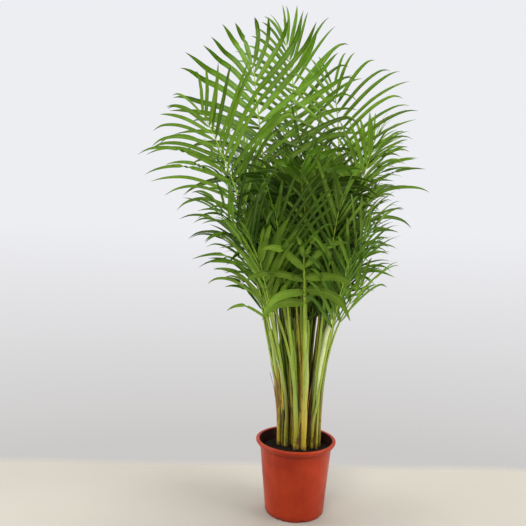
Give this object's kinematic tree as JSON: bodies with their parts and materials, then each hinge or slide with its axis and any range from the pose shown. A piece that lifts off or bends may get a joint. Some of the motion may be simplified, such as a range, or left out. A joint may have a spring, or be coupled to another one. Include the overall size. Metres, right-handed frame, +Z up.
{
  "type": "potted palm",
  "caption": "Clump of slender palm canes with feathery arching fronds, growing in soil in a tapered plastic nursery pot.",
  "frame": {"origin": "middle of the pot's underside, on the ground", "axes": "+Z up along the pot's axis, -Y towards the side seen in the picture, +X to the right in the picture"},
  "size_m": [0.685, 0.4912, 1.2274],
  "materials": {
    "pot_plastic": "satin",
    "peat": "matte",
    "cane_skin": "satin",
    "leaf": "satin"
  },
  "bodies": {
    "root": {"pot": "pot_plastic", "soil": "peat", "cane_01": "cane_skin", "cane_02": "cane_skin", "cane_03": "cane_skin", "cane_04": "cane_skin", "cane_05": "cane_skin", "cane_06": "cane_skin", "cane_07": "cane_skin", "cane_08": "cane_skin", "cane_09": "cane_skin", "cane_10": "cane_skin", "cane_11": "cane_skin", "cane_12": "cane_skin", "cane_13": "cane_skin", "shoot_01": "cane_skin", "shoot_02": "cane_skin", "shoot_03": "cane_skin", "shoot_04": "cane_skin", "frond_01": "leaf", "frond_02": "leaf", "frond_03": "leaf", "frond_04": "leaf", "frond_05": "leaf", "frond_06": "leaf", "frond_07": "leaf", "frond_08": "leaf", "frond_09": "leaf", "frond_10": "leaf", "frond_11": "leaf", "frond_12": "leaf", "frond_13": "leaf", "frond_14": "leaf", "frond_15": "leaf", "frond_16": "leaf", "frond_17": "leaf", "frond_18": "leaf", "frond_19": "leaf", "frond_20": "leaf", "frond_21": "leaf", "frond_22": "leaf", "frond_23": "leaf", "frond_24": "leaf", "frond_25": "leaf", "frond_26": "leaf", "frond_27": "leaf", "frond_28": "leaf", "frond_29": "leaf", "frond_30": "leaf", "frond_31": "leaf", "frond_32": "leaf"}
  },
  "joints": []
}
